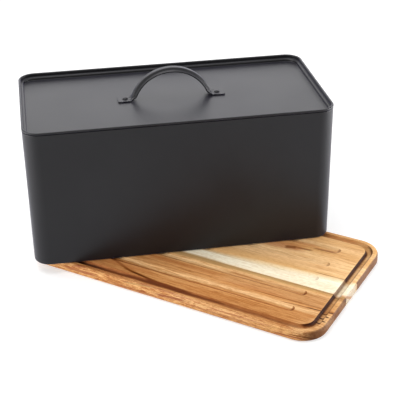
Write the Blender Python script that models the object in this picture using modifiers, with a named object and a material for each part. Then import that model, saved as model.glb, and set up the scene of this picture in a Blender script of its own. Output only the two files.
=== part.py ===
"""Bread bin of coated steel sheet with a lift-off lid, standing askew on its wooden board.

Metres, +Z up, front towards -Y. The origin lies on the board's underside, below the middle of the bin.
"""
import math

import bmesh
import bpy
from mathutils import Matrix, Vector

mm = 0.001

# Bin, measured over the lid's rim
bin_length = 340 * mm
bin_depth = 172.5 * mm
bin_height = 161.5 * mm
corner_radius = 18.5 * mm
sheet = 0.6 * mm
seat_gap = 0.3 * mm

# Body wall: one strip of sheet with a hemmed mouth and a flange turned in below
hem_height = 9 * mm
hem_slot = 0.3 * mm
foot_flange = 6 * mm
foot_bend = 1.6 * mm
seam_lap = 8 * mm
seam_line = 0.5 * mm
seam_line_depth = 0.25 * mm

# Base pan, dropped in on the flange
base_rim = 8 * mm
base_bend = 2.5 * mm

# Lid: a rolled rim, a wall that plugs the mouth, a ledge and a sunken panel
rim_overhang = 0.2 * mm
lid_clearance = 0.4 * mm
ledge_depth = 4 * mm
ledge_width = 1.4 * mm
panel_step = 3.2 * mm
lid_bend = 0.7 * mm
step_bend = 0.9 * mm
rim_curl_angle = math.radians(280)

# Handle: a strap of thicker sheet, crowned along the arch and flat at its two feet
strap_sheet = 1.2 * mm
strap_width = 13.5 * mm
strap_crown = 3.4 * mm
arch_span = 92 * mm
arch_rise = 36.2 * mm
arch_foot_bend = 3 * mm
crown_run = 6 * mm
tab_width = 14.5 * mm
tab_reach = 15 * mm
tab_corner = 1.6 * mm

# Rivets through the feet and the lid
rivet_shank = 3.4 * mm
rivet_clearance = 0.3 * mm
rivet_head = 6.4 * mm
rivet_head_height = 1.6 * mm
rivet_tail = 6 * mm
rivet_tail_height = 1.1 * mm
rivet_inset = 8.5 * mm

# Board of glued staves with a juice groove round its top and shallow flutes inside it
board_length = 360 * mm
board_width = 200 * mm
board_thickness = 12 * mm
board_corner_radius = 28 * mm
board_edge_round = 2.6 * mm
board_turn = math.radians(-38.6)
board_shift_x = 22.5 * mm
board_shift_y = -82.5 * mm
groove_width = 8 * mm
groove_depth = 3.8 * mm
groove_margin = 6.3 * mm
flute_count = 5
flute_pitch = 32 * mm
flute_length = 280 * mm
flute_width = 10 * mm
flute_depth = 1.1 * mm
glue_line = 0.3 * mm
stave_edge_shares = (0, 0.238, 0.403, 0.56, 0.78, 1)

# How far a cutter runs past what it cuts, and how near points are to be one point
overrun = 2 * mm
merge_distance = 0.01 * mm

corner_steps = 8
bend_steps = 3
arch_steps = 32
section_steps = 10
turn_steps = 32
flute_steps = 24
smooth_angle = math.radians(35)
round_angle = math.radians(60)

# Levels above the board's underside, and the sections that follow from the sizes above
bin_floor = board_thickness + seat_gap
rim_top = bin_floor + bin_height
hem_thickness = 2 * sheet + hem_slot
rim_roll = rim_overhang + hem_thickness + lid_clearance + sheet
mouth_level = rim_top - rim_roll - seat_gap
panel_top = rim_top - ledge_depth - panel_step

black_coat = (0.02, 0.02, 0.021, 1)
rivet_steel = (0.03, 0.03, 0.032, 1)
stave_colours = (
    (0.50, 0.25, 0.10, 1),
    (0.42, 0.19, 0.075, 1),
    (0.84, 0.68, 0.42, 1),
    (0.60, 0.33, 0.13, 1),
    (0.47, 0.22, 0.09, 1),
)


def clear_scene():
    """Remove whatever the file holds, such as the startup objects."""
    for obj in list(bpy.data.objects):
        bpy.data.objects.remove(obj, do_unlink=True)


def new_collection(name):
    """Make a collection in the scene."""
    collection = bpy.data.collections.new(name)
    bpy.context.scene.collection.children.link(collection)
    return collection


def principled(name, colour, roughness, metallic):
    """Make a plain Principled material."""
    material = bpy.data.materials.new(name)
    material.use_nodes = True
    shader = material.node_tree.nodes["Principled BSDF"]
    shader.inputs["Base Color"].default_value = colour
    shader.inputs["Roughness"].default_value = roughness
    shader.inputs["Metallic"].default_value = metallic
    material.diffuse_color = colour
    return material


def add_object(name, mesh, collection, material=None, parent=None):
    """Put a mesh in the scene as a named object."""
    obj = bpy.data.objects.new(name, mesh)
    collection.objects.link(obj)
    if material:
        mesh.materials.append(material)
    if parent:
        obj.parent = parent
    return obj


def add_frame(name, collection, place, turn=0):
    """An empty that carries the pieces of one body, on that body's line of travel."""
    frame = bpy.data.objects.new(name, None)
    frame.location = place
    frame.rotation_euler = (0, 0, turn)
    collection.objects.link(frame)
    return frame


def mesh_from(bm, name, smooth=True):
    """Turn a bmesh into a mesh, shaded flat, or smooth except over its sharp edges."""
    mesh = bpy.data.meshes.new(name)
    bm.to_mesh(mesh)
    bm.free()
    if smooth:
        mesh.shade_smooth()
        mesh.set_sharp_from_angle(angle=smooth_angle)
    return mesh


def solidify(obj, thickness):
    """Give an open surface its sheet thickness, half to each side."""
    modifier = obj.modifiers.new("sheet", "SOLIDIFY")
    modifier.thickness = thickness
    modifier.offset = 0
    modifier.use_even_offset = True
    modifier.use_quality_normals = True


def boolean(obj, other, operation):
    """Cut, keep or join with another object."""
    modifier = obj.modifiers.new(operation.lower(), "BOOLEAN")
    modifier.operation = operation
    modifier.solver = "EXACT"
    modifier.object = other


def even_shading(obj):
    """Let the large flat faces set the shading, so that they stay flat beside bends and holes."""
    obj.modifiers.new("shading", "WEIGHTED_NORMAL").keep_sharp = True


def as_cutter(obj):
    """Mark an object as a cutter, which isn't part of the bin."""
    obj.hide_render = True
    obj.display_type = "WIRE"
    return obj


def box_mesh(name, low, high):
    """A box between two corners."""
    bm = bmesh.new()
    bmesh.ops.create_cube(bm, size=1)
    size = Vector(high) - Vector(low)
    middle = (Vector(high) + Vector(low)) / 2
    placing = Matrix.Translation(middle) @ Matrix.Diagonal(size).to_4x4()
    bmesh.ops.transform(bm, matrix=placing, verts=bm.verts)
    return mesh_from(bm, name, smooth=False)


def arc(centre, radius, start, stop, steps):
    """Points along an arc in a plane, both ends included."""
    points = []
    for step in range(steps + 1):
        angle = start + (stop - start) * step / steps
        points.append((centre[0] + radius * math.cos(angle), centre[1] + radius * math.sin(angle)))
    return points


def rounded_outline(half_length, half_width, radius):
    """A rectangle with round corners, anticlockwise from the corner at +X +Y."""
    points = []
    for corner in range(4):
        start = corner * math.pi / 2
        side_x = 1 if corner in (0, 3) else -1
        side_y = 1 if corner in (0, 1) else -1
        centre = (side_x * (half_length - radius), side_y * (half_width - radius))
        points += arc(centre, radius, start, start + math.pi / 2, corner_steps)
    return points


def add_ring(bm, half_length, half_width, radius, inset, level):
    """Add a ring of vertices, set in from an outline by the same distance all round."""
    outline = rounded_outline(half_length - inset, half_width - inset, radius - inset)
    return [bm.verts.new((x, y, level)) for x, y in outline]


def loft(bm, rows, closed):
    """Skin neighbouring rows of vertices, which may be closed rings."""
    for row, following in zip(rows, rows[1:]):
        for index in range(0 if closed else 1, len(row)):
            bm.faces.new((row[index - 1], row[index], following[index], following[index - 1]))


def pressed_sheet(name, half_length, half_width, radius, section, filled):
    """Sweep a section of (inset, level) points round an outline, and fill the last ring as a panel."""
    bm = bmesh.new()
    rings = [add_ring(bm, half_length, half_width, radius, inset, level) for inset, level in section]
    loft(bm, rings, True)
    if filled:
        bm.faces.new(rings[-1])
    bmesh.ops.recalc_face_normals(bm, faces=bm.faces)
    return mesh_from(bm, name)


def wall_section():
    """Section of the body wall, as distance in from its outer face and level above its foot."""
    half_sheet = sheet / 2
    fold = (sheet + hem_slot) / 2
    fold_level = mouth_level - bin_floor - half_sheet - fold
    section = [(half_sheet + foot_bend + foot_flange, half_sheet)]
    section += arc((half_sheet + foot_bend, half_sheet + foot_bend), foot_bend,
                   -math.pi / 2, -math.pi, bend_steps)
    section += arc((half_sheet + fold, fold_level), fold, math.pi, 0, 2 * bend_steps)
    section.append((half_sheet + 2 * fold, fold_level + fold + half_sheet - hem_height))
    return section


def make_body_wall(parts, cutters, coat, frame):
    """The wrapped wall, lapped and joined up the middle of its back."""
    half_length = bin_length / 2 - rim_overhang
    half_depth = bin_depth / 2 - rim_overhang
    mesh = pressed_sheet("body_wall", half_length, half_depth, corner_radius, wall_section(), False)
    wall = add_object("body_wall", mesh, parts, coat, frame)
    solidify(wall, sheet)

    lap_foot = 2 * sheet + seat_gap + base_rim + overrun
    lap_top = mouth_level - bin_floor - hem_height - overrun
    inner_face = half_depth - sheet
    lap_mesh = box_mesh("seam_lap", (-seam_lap / 2, inner_face - sheet, lap_foot),
                        (seam_lap / 2, inner_face + sheet / 2, lap_top))
    lap = as_cutter(add_object("seam_lap", lap_mesh, cutters, coat, frame))
    boolean(wall, lap, "UNION")

    line_mesh = box_mesh("seam_line", (-seam_line / 2, half_depth - seam_line_depth, lap_foot),
                         (seam_line / 2, half_depth + overrun, lap_top))
    line = as_cutter(add_object("seam_line", line_mesh, cutters, coat, frame))
    boolean(wall, line, "DIFFERENCE")
    even_shading(wall)


def make_base_pan(parts, coat, frame):
    """The floor of the bin: a shallow pan whose upturned rim fits inside the wall."""
    inset = sheet + seat_gap + sheet / 2
    level = sheet + seat_gap + sheet / 2
    section = [(inset, level + base_rim)]
    section += arc((inset + base_bend, level + base_bend), base_bend, math.pi, 1.5 * math.pi, bend_steps)
    mesh = pressed_sheet("base_pan", bin_length / 2 - rim_overhang, bin_depth / 2 - rim_overhang,
                         corner_radius, section, True)
    pan = add_object("base_pan", mesh, parts, coat, frame)
    solidify(pan, sheet)
    even_shading(pan)


def lid_section():
    """Section of the lid, as distance in from the rim's outer face and level above the panel's top."""
    half_sheet = sheet / 2
    crest = ledge_depth + panel_step
    curl = (rim_roll - sheet) / 2
    curl_centre = (rim_roll / 2, crest - rim_roll / 2)
    ledge = crest - ledge_depth - half_sheet
    panel = -half_sheet
    section = arc(curl_centre, curl, rim_curl_angle, 0, 4 * bend_steps)
    step_inset = rim_roll - half_sheet
    section += arc((step_inset + lid_bend, ledge + lid_bend), lid_bend, math.pi, 1.5 * math.pi, bend_steps)
    edge = step_inset + lid_bend + ledge_width
    section += arc((edge, ledge - step_bend), step_bend, math.pi / 2, 0, bend_steps)
    section += arc((edge + 2 * step_bend, panel + step_bend), step_bend, math.pi, 1.5 * math.pi, bend_steps)
    return section


def rivet_places():
    """Where the two rivets stand along the lid."""
    reach = arch_span / 2 + tab_reach - rivet_inset
    return (("left", -reach), ("right", reach))


def make_rivet_cutters(cutters, coat, frame):
    """Drills for the rivet holes through the feet and the panel."""
    drills = []
    for side, place in rivet_places():
        bm = bmesh.new()
        radius = rivet_shank / 2 + rivet_clearance
        depth = 2 * (strap_sheet + sheet + seat_gap + overrun)
        bmesh.ops.create_cone(bm, cap_ends=True, segments=turn_steps,
                              radius1=radius, radius2=radius, depth=depth)
        drill = add_object("drill_" + side, mesh_from(bm, "drill_" + side), cutters, coat, frame)
        drill.location = (place, 0, 0)
        drill.rotation_euler = (0, 0, math.pi / turn_steps)
        drills.append(as_cutter(drill))
    return drills


def make_lid_pan(parts, coat, frame, drills):
    """The pressed lid."""
    mesh = pressed_sheet("lid_pan", bin_length / 2, bin_depth / 2, corner_radius + rim_overhang,
                         lid_section(), True)
    pan = add_object("lid_pan", mesh, parts, coat, frame)
    solidify(pan, sheet)
    for drill in drills:
        boolean(pan, drill, "DIFFERENCE")
    even_shading(pan)


def smooth_step(value):
    """Ease from 0 to 1."""
    value = min(max(value, 0), 1)
    return value * value * (3 - 2 * value)


def strap_path():
    """Middle line of the strap from the right foot's tip to the left one's.

    Each station has a place (x, z), the outward normal there, and its share of the full crown.
    """
    level = seat_gap + strap_sheet / 2
    top = arch_rise - strap_sheet / 2 - level
    half_span = arch_span / 2 - strap_sheet / 2
    radius = (half_span ** 2 + top ** 2) / (2 * top)
    centre = level + top - radius
    bend_centre_z = level + arch_foot_bend
    bend_centre_x = math.sqrt((radius + arch_foot_bend) ** 2 - (bend_centre_z - centre) ** 2)
    join = math.atan2(bend_centre_z - centre, bend_centre_x)
    tip = arch_span / 2 + tab_reach

    half = []
    flat = tip - bend_centre_x
    for step in range(bend_steps + 1):
        along = tab_corner * (1 - math.cos(step / bend_steps * math.pi / 2))
        half.append((tip - along, level, 0.0, 1.0, 0.0))
    half.append((tip - flat / 2, level, 0.0, 1.0, 0.0))
    for step in range(2 * bend_steps + 1):
        share = step / (2 * bend_steps)
        angle = -math.pi / 2 - share * (math.pi / 2 - join)
        run = (share - 0.5) * (math.pi / 2 - join) * arch_foot_bend
        half.append((bend_centre_x + arch_foot_bend * math.cos(angle),
                     bend_centre_z + arch_foot_bend * math.sin(angle),
                     -math.cos(angle), -math.sin(angle), smooth_step(run / crown_run)))
    bend_run = 0.5 * (math.pi / 2 - join) * arch_foot_bend
    for step in range(1, arch_steps // 2 + 1):
        angle = join + (math.pi / 2 - join) * step / (arch_steps // 2)
        run = bend_run + (angle - join) * radius
        half.append((radius * math.cos(angle), centre + radius * math.sin(angle),
                     math.cos(angle), math.sin(angle), smooth_step(run / crown_run)))
    return half + [(-x, z, -nx, nz, crown) for x, z, nx, nz, crown in reversed(half[:-1])]


def strap_half_width(x, crown):
    """Half the strap's width, rounded off at the tips of the feet."""
    half_width = (tab_width + (strap_width - tab_width) * crown) / 2
    past = max(tab_corner - (arch_span / 2 + tab_reach - abs(x)), 0)
    return half_width - tab_corner + math.sqrt(tab_corner ** 2 - past ** 2)


def make_handle(parts, coat, frame, drills):
    """The strap handle, lofted from flat feet to a crowned arch."""
    bm = bmesh.new()
    rows = []
    for x, z, normal_x, normal_z, crown in strap_path():
        half_width = strap_half_width(x, crown)
        row = []
        for step in range(section_steps + 1):
            angle = math.pi * step / section_steps
            drop = strap_crown * crown * (1 - math.sin(angle))
            across = half_width * math.cos(angle)
            row.append(bm.verts.new((x - normal_x * drop, across, z - normal_z * drop)))
        rows.append(row)
    loft(bm, rows, False)
    bmesh.ops.recalc_face_normals(bm, faces=bm.faces)
    strap = add_object("handle_strap", mesh_from(bm, "handle_strap"), parts, coat, frame)
    solidify(strap, strap_sheet)
    for drill in drills:
        boolean(strap, drill, "DIFFERENCE")
    even_shading(strap)


def make_rivets(parts, steel, frame):
    """Domed rivets, each a turned profile, with the formed tail under the lid."""
    head_seat = 2 * seat_gap + strap_sheet
    tail_seat = -sheet - seat_gap
    dome_radius = ((rivet_head / 2) ** 2 + rivet_head_height ** 2) / (2 * rivet_head_height)
    dome_centre = head_seat + rivet_head_height - dome_radius
    dome_edge = math.asin(rivet_head / 2 / dome_radius)
    profile = arc((0, dome_centre), dome_radius, math.pi / 2, math.pi / 2 - dome_edge, 2 * bend_steps)
    profile += [(rivet_shank / 2, head_seat), (rivet_shank / 2, tail_seat)]
    tail_round = rivet_tail_height / 2
    profile += arc((rivet_tail / 2 - tail_round, tail_seat - tail_round), tail_round,
                   math.pi / 2, -math.pi / 2, 2 * bend_steps)
    profile.append((0, tail_seat - rivet_tail_height))
    for side, place in rivet_places():
        bm = bmesh.new()
        verts = [bm.verts.new((radius, 0, level)) for radius, level in profile]
        for vert, following in zip(verts, verts[1:]):
            bm.edges.new((vert, following))
        rivet = add_object("rivet_" + side, mesh_from(bm, "rivet_" + side), parts, steel, frame)
        rivet.location = (place, 0, 0)
        screw = rivet.modifiers.new("turn", "SCREW")
        screw.steps = turn_steps
        screw.render_steps = turn_steps
        screw.use_merge_vertices = True
        screw.merge_threshold = merge_distance
        screw.use_smooth_shade = True


def board_blank():
    """Outline of the whole board, as a plain slab on the surface that it stands on."""
    bm = bmesh.new()
    underside = bm.faces.new(add_ring(bm, board_length / 2, board_width / 2, board_corner_radius, 0, 0))
    raised = bmesh.ops.extrude_face_region(bm, geom=[underside])
    top = [item for item in raised["geom"] if isinstance(item, bmesh.types.BMVert)]
    bmesh.ops.translate(bm, vec=(0, 0, board_thickness), verts=top)
    bmesh.ops.recalc_face_normals(bm, faces=bm.faces)
    return mesh_from(bm, "board_blank", smooth=False)


def make_groove_cutter(cutters, frame):
    """A round tube that runs along the middle of the juice groove."""
    radius = ((groove_width / 2) ** 2 + groove_depth ** 2) / (2 * groove_depth)
    inset = groove_margin + groove_width / 2
    curve = bpy.data.curves.new("groove_path", "CURVE")
    curve.dimensions = "3D"
    curve.bevel_depth = radius
    curve.bevel_resolution = 6
    points = rounded_outline(board_length / 2 - inset, board_width / 2 - inset, board_corner_radius - inset)
    spline = curve.splines.new("POLY")
    spline.points.add(len(points) - 1)
    for point, (x, y) in zip(spline.points, points):
        point.co = (x, y, board_thickness - groove_depth + radius, 1)
    spline.use_cyclic_u = True
    path = bpy.data.objects.new("groove_path", curve)
    cutters.objects.link(path)
    mesh = bpy.data.meshes.new_from_object(path.evaluated_get(bpy.context.evaluated_depsgraph_get()))
    bm = bmesh.new()
    bm.from_mesh(mesh)
    bmesh.ops.remove_doubles(bm, verts=bm.verts, dist=merge_distance)
    bmesh.ops.recalc_face_normals(bm, faces=bm.faces)
    groove = add_object("groove_tube", mesh_from(bm, "groove_tube", smooth=False), cutters, None, frame)
    groove.matrix_local = path.matrix_world
    bpy.data.objects.remove(path, do_unlink=True)
    return as_cutter(groove)


def make_flute_cutters(cutters, frame):
    """Round-ended rods along the board, whose undersides hollow out the flutes."""
    radius = ((flute_width / 2) ** 2 + flute_depth ** 2) / (2 * flute_depth)
    half_run = (flute_length - flute_width) / 2
    profile = arc((0, half_run), radius, math.pi / 2, 0, flute_steps)
    profile += arc((0, -half_run), radius, 0, -math.pi / 2, flute_steps)
    cutting = []
    for index in range(flute_count):
        bm = bmesh.new()
        verts = [bm.verts.new((across, 0, along)) for across, along in profile]
        for vert, following in zip(verts, verts[1:]):
            bm.edges.new((vert, following))
        name = "flute_%d" % (index + 1)
        rod = add_object(name, mesh_from(bm, name), cutters, None, frame)
        place = (index - (flute_count - 1) / 2) * flute_pitch
        rod.location = (0, place, board_thickness - flute_depth + radius)
        rod.rotation_euler = (0, math.pi / 2, 0)
        screw = rod.modifiers.new("turn", "SCREW")
        screw.steps = 4 * flute_steps
        screw.render_steps = 4 * flute_steps
        screw.use_merge_vertices = True
        screw.merge_threshold = merge_distance
        cutting.append((place, as_cutter(rod)))
    return cutting


def make_board(parts, cutters, frame):
    """Edge-glued staves, each sawn from the same blank, then grooved and fluted."""
    groove = make_groove_cutter(cutters, frame)
    flutes = make_flute_cutters(cutters, frame)
    lines = [board_width * (share - 0.5) for share in stave_edge_shares]
    for index, (near, far) in enumerate(zip(lines, lines[1:])):
        name = "board_stave_%d" % (index + 1)
        wood = principled("wood_%d" % (index + 1), stave_colours[index], 0.55, 0)
        low = near - overrun if index == 0 else near + glue_line / 2
        high = far + overrun if index == len(lines) - 2 else far - glue_line / 2
        half_run = board_length / 2 + overrun
        slab_mesh = box_mesh(name + "_slab", (-half_run, low, -overrun),
                             (half_run, high, board_thickness + overrun))
        slab = as_cutter(add_object(name + "_slab", slab_mesh, cutters, wood, frame))
        stave = add_object(name, board_blank(), parts, wood, frame)
        bevel = stave.modifiers.new("round", "BEVEL")
        bevel.width = board_edge_round
        bevel.segments = bend_steps
        bevel.limit_method = "ANGLE"
        bevel.angle_limit = round_angle
        boolean(stave, slab, "INTERSECT")
        boolean(stave, groove, "DIFFERENCE")
        for place, flute in flutes:
            if low < place + flute_width / 2 and place - flute_width / 2 < high:
                boolean(stave, flute, "DIFFERENCE")


def main():
    """Build the board, the bin on it and the lid on the bin."""
    clear_scene()
    parts = new_collection("bread_bin")
    cutters = new_collection("cutters")
    coat = principled("black_coat", black_coat, 0.42, 0)
    steel = principled("coated_rivet", rivet_steel, 0.4, 0)

    board_frame = add_frame("board_frame", parts, (board_shift_x, board_shift_y, 0), board_turn)
    bin_frame = add_frame("bin_frame", parts, (0, 0, bin_floor))
    lid_frame = add_frame("lid_frame", parts, (0, 0, panel_top))

    make_board(parts, cutters, board_frame)
    make_body_wall(parts, cutters, coat, bin_frame)
    make_base_pan(parts, coat, bin_frame)
    drills = make_rivet_cutters(cutters, coat, lid_frame)
    make_lid_pan(parts, coat, lid_frame, drills)
    make_handle(parts, coat, lid_frame, drills)
    make_rivets(parts, steel, lid_frame)


main()
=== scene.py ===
"""Looks of the bread bin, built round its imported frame: coated steel, rivets and a fluted wooden board.

Metres, +Z up, front towards -Y, as in the frame.
"""
import math

import bmesh
import bpy
from mathutils import Matrix, Vector


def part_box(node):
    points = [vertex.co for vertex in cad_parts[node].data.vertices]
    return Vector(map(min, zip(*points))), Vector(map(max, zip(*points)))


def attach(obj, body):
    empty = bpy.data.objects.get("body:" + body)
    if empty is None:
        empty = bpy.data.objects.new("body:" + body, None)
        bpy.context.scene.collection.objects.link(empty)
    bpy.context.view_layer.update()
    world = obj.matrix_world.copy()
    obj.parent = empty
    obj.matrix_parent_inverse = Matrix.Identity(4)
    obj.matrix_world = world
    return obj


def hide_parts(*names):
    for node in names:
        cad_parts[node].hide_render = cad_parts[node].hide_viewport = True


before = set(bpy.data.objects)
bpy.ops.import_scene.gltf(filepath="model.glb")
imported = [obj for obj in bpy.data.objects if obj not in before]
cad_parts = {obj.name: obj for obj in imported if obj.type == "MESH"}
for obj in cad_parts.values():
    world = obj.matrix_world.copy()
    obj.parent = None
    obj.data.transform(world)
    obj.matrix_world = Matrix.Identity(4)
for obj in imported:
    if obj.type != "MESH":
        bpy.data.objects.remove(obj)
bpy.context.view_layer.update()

mm = 0.001

# Bin: outer sizes and levels come from the frame, and the rest, apart from the bows, repeats the solids
lid_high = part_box("lid_pan")[1]
wall_low, wall_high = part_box("body_wall")
bin_half_length = lid_high[0]
bin_half_depth = lid_high[1]
wall_half_length = wall_high[0]
wall_half_depth = wall_high[1]
bin_floor = wall_low[2]
mouth_level = wall_high[2]
rim_top = lid_high[2]

sheet = 0.6 * mm
seat_gap = 0.3 * mm
corner_radius = 18.5 * mm
wall_bow = 0.25 * mm
end_wall_bow = 0.15 * mm
hem_height = 9 * mm
hem_slot = 0.3 * mm
foot_flange = 6 * mm
foot_bend = 1.6 * mm
seam_lap = 8 * mm
seam_line = 0.5 * mm
seam_line_depth = 0.25 * mm
base_rim = 8 * mm
base_bend = 2.5 * mm

# Lid
rim_overhang = bin_half_length - wall_half_length
lid_clearance = 0.4 * mm
ledge_depth = 4 * mm
ledge_width = 1.4 * mm
panel_step = 3.2 * mm
lid_bend = 0.7 * mm
ledge_round = 1.8 * mm
step_bend = 0.9 * mm
rim_curl_angle = math.radians(280)
hem_thickness = 2 * sheet + hem_slot
rim_roll = rim_overhang + hem_thickness + lid_clearance + sheet
panel_top = rim_top - ledge_depth - panel_step

# Handle and rivets
strap_sheet = 1.2 * mm
strap_edge_round = 0.35 * mm
strap_width = 13.5 * mm
strap_crown = 3.4 * mm
rib_half_top = 2.1 * mm
rib_bend = 0.9 * mm
rib_slope = math.radians(60)
margin_slope = math.radians(22)
arch_span = 92 * mm
arch_rise = 36.18 * mm
arch_foot_bend = 3 * mm
crown_run = 6 * mm
tab_width = 14.5 * mm
tab_reach = 15 * mm
tab_corner = 1.6 * mm
rivet_shank = 3.4 * mm
rivet_clearance = 0.3 * mm
rivet_head = 6.4 * mm
rivet_head_height = 1.6 * mm
rivet_tail = 6 * mm
rivet_tail_height = 1.1 * mm
rivet_inset = 8.5 * mm

# Board, set in by a hair so that its finer corners stay inside the frame's box
board_slack = 0.2 * mm
board_length = 360 * mm - 2 * board_slack
board_width = 200 * mm - 2 * board_slack
board_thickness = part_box("board_stave_3")[1][2]
board_corner_radius = 28 * mm - board_slack
board_edge_round = 2.6 * mm
board_turn = math.radians(-38.6)
board_place = (22.5 * mm, -82.5 * mm, 0)
groove_width = 8 * mm
groove_depth = 3.8 * mm
groove_margin = 6.3 * mm - board_slack
lip_round = 0.5 * mm
flute_count = 5
flute_pitch = 32 * mm
flute_length = 280 * mm
flute_width = 10 * mm
flute_depth = 1.1 * mm
flute_end_roundness = 0.999
cutter_rise = 0.2 * mm
glue_line = 0.04 * mm
stave_edge_shares = (0, 0.238, 0.403, 0.56, 0.78, 1)

# How far cutters reach past a piece, and what counts as one point, a smooth bend or a sharp edge
overrun = 2 * mm
merge_distance = 0.01 * mm
smooth_angle = math.radians(30)
edge_angle = math.radians(50)
board_smooth_angle = math.radians(25)

# How finely the curves are divided
corner_steps = 28
straight_steps = 24
bend_steps = 8
curl_steps = 36
arch_steps = 96
turn_steps = 64
edge_steps = 3

# Most of a noise lies between these values
noise_span = (0.3, 0.7)

# Powder coat: the scale of its patterns per mm, how far they change it, and how deep they lie
coat_cloud_scale = 0.02
coat_speck_scale = 2.6
coat_peel_scale = 0.55
coat_contrast = 0.18
coat_slow_change = 0.02
coat_fine_change = 0.03
coat_peel_depth = 0.05 * mm
coat_speck_depth = 0.03 * mm
coat_peel_strength = 0.5
coat_speck_strength = 0.6

# Its colour and sheen, and the roughness and specular level of each coat
coat_black = (0.006, 0.006, 0.0064)
coat_specular_tint = (0.975, 0.965, 1, 1)
coat_sheen = 0.13
coat_sheen_tint = (0.62, 0.58, 1, 1)
coat_sheen_roughness = 0.4
coat_finish = (0.38, 0.32)
rivet_finish = (0.34, 0.25)

# Floor: white to the eye far out, while it lights the object as a plain pale one
floor_reach = 8
floor_drop = 0.1 * mm
floor_fade = (0.45, 1.3)
floor_colour = (0.8, 0.8, 0.8, 1)
floor_seen_colour = (0.6, 0.6, 0.6, 1)
floor_seen_glow = 0.5

# Softboxes that face one point, as (name, place, width, height, radiance), and the surround's light
lamp_target = (0, -0.05, 0.1)
softboxes = (
    ("key", (-1.0, -0.1, 1.8), 1.5, 1.5, 2.2),
    ("top", (-0.1, 0.25, 2.0), 1.6, 1.2, 3.15),
    ("back", (0.3, 2.2, 1.1), 2.4, 1.4, 1.25),
    ("left", (-1.0, -0.15, 0.16), 0.9, 0.26, 13),
    ("right", (1.0, -0.1, 0.16), 0.9, 0.26, 18),
    ("front", (1.5, -1.4, 1.0), 1.2, 1.2, 0.5),
)
surround_light = 0.26

# Camera at the photograph's viewing angle: lens and sensor in mm, place in metres, turn in degrees
camera_lens = 92.644
camera_sensor = 36
camera_place = (-0.1503, -1.07134, 0.62692)
camera_turn = (61.1735, 0.6787, -10.0027)

collection = bpy.data.collections.new("bread_bin_looks")
bpy.context.scene.collection.children.link(collection)


def arc(centre, radius, start, stop, steps):
    """Points along an arc in a plane, both ends included."""
    points = []
    for step in range(steps + 1):
        angle = start + (stop - start) * step / steps
        points.append((centre[0] + radius * math.cos(angle), centre[1] + radius * math.sin(angle)))
    return points


def rounded_outline(half_length, half_width, radius):
    """A rectangle with round corners and divided sides, anticlockwise from the corner at +X +Y."""
    arcs = []
    for corner in range(4):
        start = corner * math.pi / 2
        side_x = 1 if corner in (0, 3) else -1
        side_y = 1 if corner in (0, 1) else -1
        centre = (side_x * (half_length - radius), side_y * (half_width - radius))
        arcs.append(arc(centre, radius, start, start + math.pi / 2, corner_steps))
    points = []
    for index, corner_points in enumerate(arcs):
        points += corner_points
        (x0, y0), (x1, y1) = corner_points[-1], arcs[(index + 1) % 4][0]
        for step in range(1, straight_steps):
            share = step / straight_steps
            points.append((x0 + (x1 - x0) * share, y0 + (y1 - y0) * share))
    return points


def add_ring(bm, half_length, half_width, radius, inset, level):
    """A ring of vertices, set in from an outline by the same distance all round."""
    kept = max(radius - inset, merge_distance)
    outline = rounded_outline(half_length - inset, half_width - inset, kept)
    return [bm.verts.new((x, y, level)) for x, y in outline]


def loft(bm, rows, closed):
    """Skin neighbouring rows of vertices, which may be closed rings."""
    for row, following in zip(rows, rows[1:]):
        for index in range(0 if closed else 1, len(row)):
            bm.faces.new((row[index - 1], row[index], following[index], following[index - 1]))


def mesh_from(bm, name):
    """Turn a bmesh into a mesh, shaded smooth except over its sharp edges."""
    mesh = bpy.data.meshes.new(name)
    bm.to_mesh(mesh)
    bm.free()
    mesh.shade_smooth()
    mesh.set_sharp_from_angle(angle=smooth_angle)
    return mesh


def add_object(name, mesh, place=(0, 0, 0), turn=0):
    """Put a mesh in the scene."""
    obj = bpy.data.objects.new(name, mesh)
    obj.location = place
    obj.rotation_euler = (0, 0, turn)
    collection.objects.link(obj)
    return obj


def solidify(obj, thickness):
    """Give an open surface its sheet thickness, half to each side."""
    modifier = obj.modifiers.new("sheet", "SOLIDIFY")
    modifier.thickness = thickness
    modifier.offset = 0
    modifier.use_even_offset = True
    modifier.use_quality_normals = True


def soften_edges(obj, width):
    """Round off the cut edges of a sheet."""
    modifier = obj.modifiers.new("edges", "BEVEL")
    modifier.width = width
    modifier.segments = edge_steps
    modifier.limit_method = "ANGLE"
    modifier.angle_limit = edge_angle
    modifier.use_clamp_overlap = True


def boolean(obj, other, operation):
    """Cut, keep or join with another object."""
    modifier = obj.modifiers.new(operation.lower(), "BOOLEAN")
    modifier.operation = operation
    modifier.solver = "EXACT"
    modifier.object = other


def even_shading(obj):
    """Let the large flat faces set the shading, so that they stay flat beside bends and holes."""
    obj.modifiers.new("shading", "WEIGHTED_NORMAL").keep_sharp = True


def bake_modifiers(obj, angle=None):
    """Replace the mesh by what its modifiers make of it, so that the cutters can go."""
    evaluated = obj.evaluated_get(bpy.context.evaluated_depsgraph_get())
    mesh = bpy.data.meshes.new_from_object(evaluated)
    obj.modifiers.clear()
    obj.data = mesh
    if angle:
        mesh.shade_smooth()
        mesh.set_sharp_from_angle(angle=angle)


def remove(*objs):
    """Take cutters out of the scene once they have cut."""
    for obj in objs:
        bpy.data.objects.remove(obj, do_unlink=True)


def box_object(name, low, high, place=(0, 0, 0)):
    """A box between two corners, used as a cutter."""
    bm = bmesh.new()
    bmesh.ops.create_cube(bm, size=1)
    size = Vector(high) - Vector(low)
    middle = (Vector(high) + Vector(low)) / 2
    matrix = Matrix.Translation(middle) @ Matrix.Diagonal(size).to_4x4()
    bmesh.ops.transform(bm, matrix=matrix, verts=bm.verts)
    return add_object(name, mesh_from(bm, name), place)


def dress(obj, body, node, material):
    """Give a finished piece its material and its body, and hide the frame's node that it replaces."""
    obj.data.materials.clear()
    obj.data.materials.append(material)
    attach(obj, body)
    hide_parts(node)


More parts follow.
